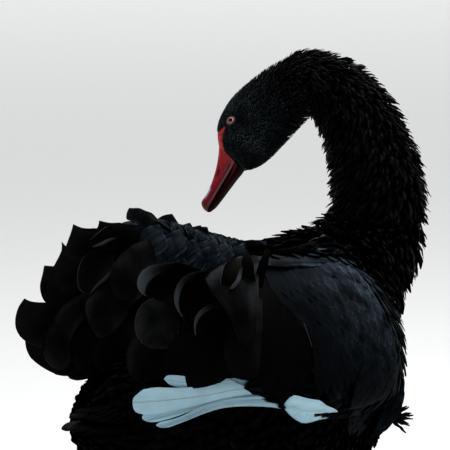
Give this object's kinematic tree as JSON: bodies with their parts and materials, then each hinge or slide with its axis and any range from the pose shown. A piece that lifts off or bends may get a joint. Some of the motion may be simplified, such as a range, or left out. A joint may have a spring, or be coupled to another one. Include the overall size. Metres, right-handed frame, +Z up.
{
  "type": "black swan",
  "caption": "Life-size still model of a black swan resting on its belly, with its wings raised, its neck arched and its bill turned back over one shoulder.",
  "frame": {"origin": "middle of the flat on which the belly rests, on the floor", "axes": "+Z up; -Y ahead, the way the breast faces; +X to the bird's left"},
  "size_m": [0.3128, 0.58, 0.4453],
  "materials": {
    "plumage": "satin, soft",
    "white_quills": "satin, soft",
    "bill_red": "satin",
    "bill_dark": "satin",
    "eye": "wet gloss",
    "foot_skin": "dry, scaled"
  },
  "bodies": {
    "root": {"torso": "plumage", "neck_lower": "plumage", "neck_middle": "plumage", "neck_upper": "plumage", "head": "plumage", "bill_upper": "bill_red", "bill_lower": "bill_dark", "eye_left": "eye", "eye_right": "eye", "wing_left": "plumage", "wing_right": "plumage", "primaries_left": "white_quills", "primaries_right": "white_quills", "tail": "plumage", "leg_left": "foot_skin", "leg_right": "foot_skin"}
  },
  "joints": []
}
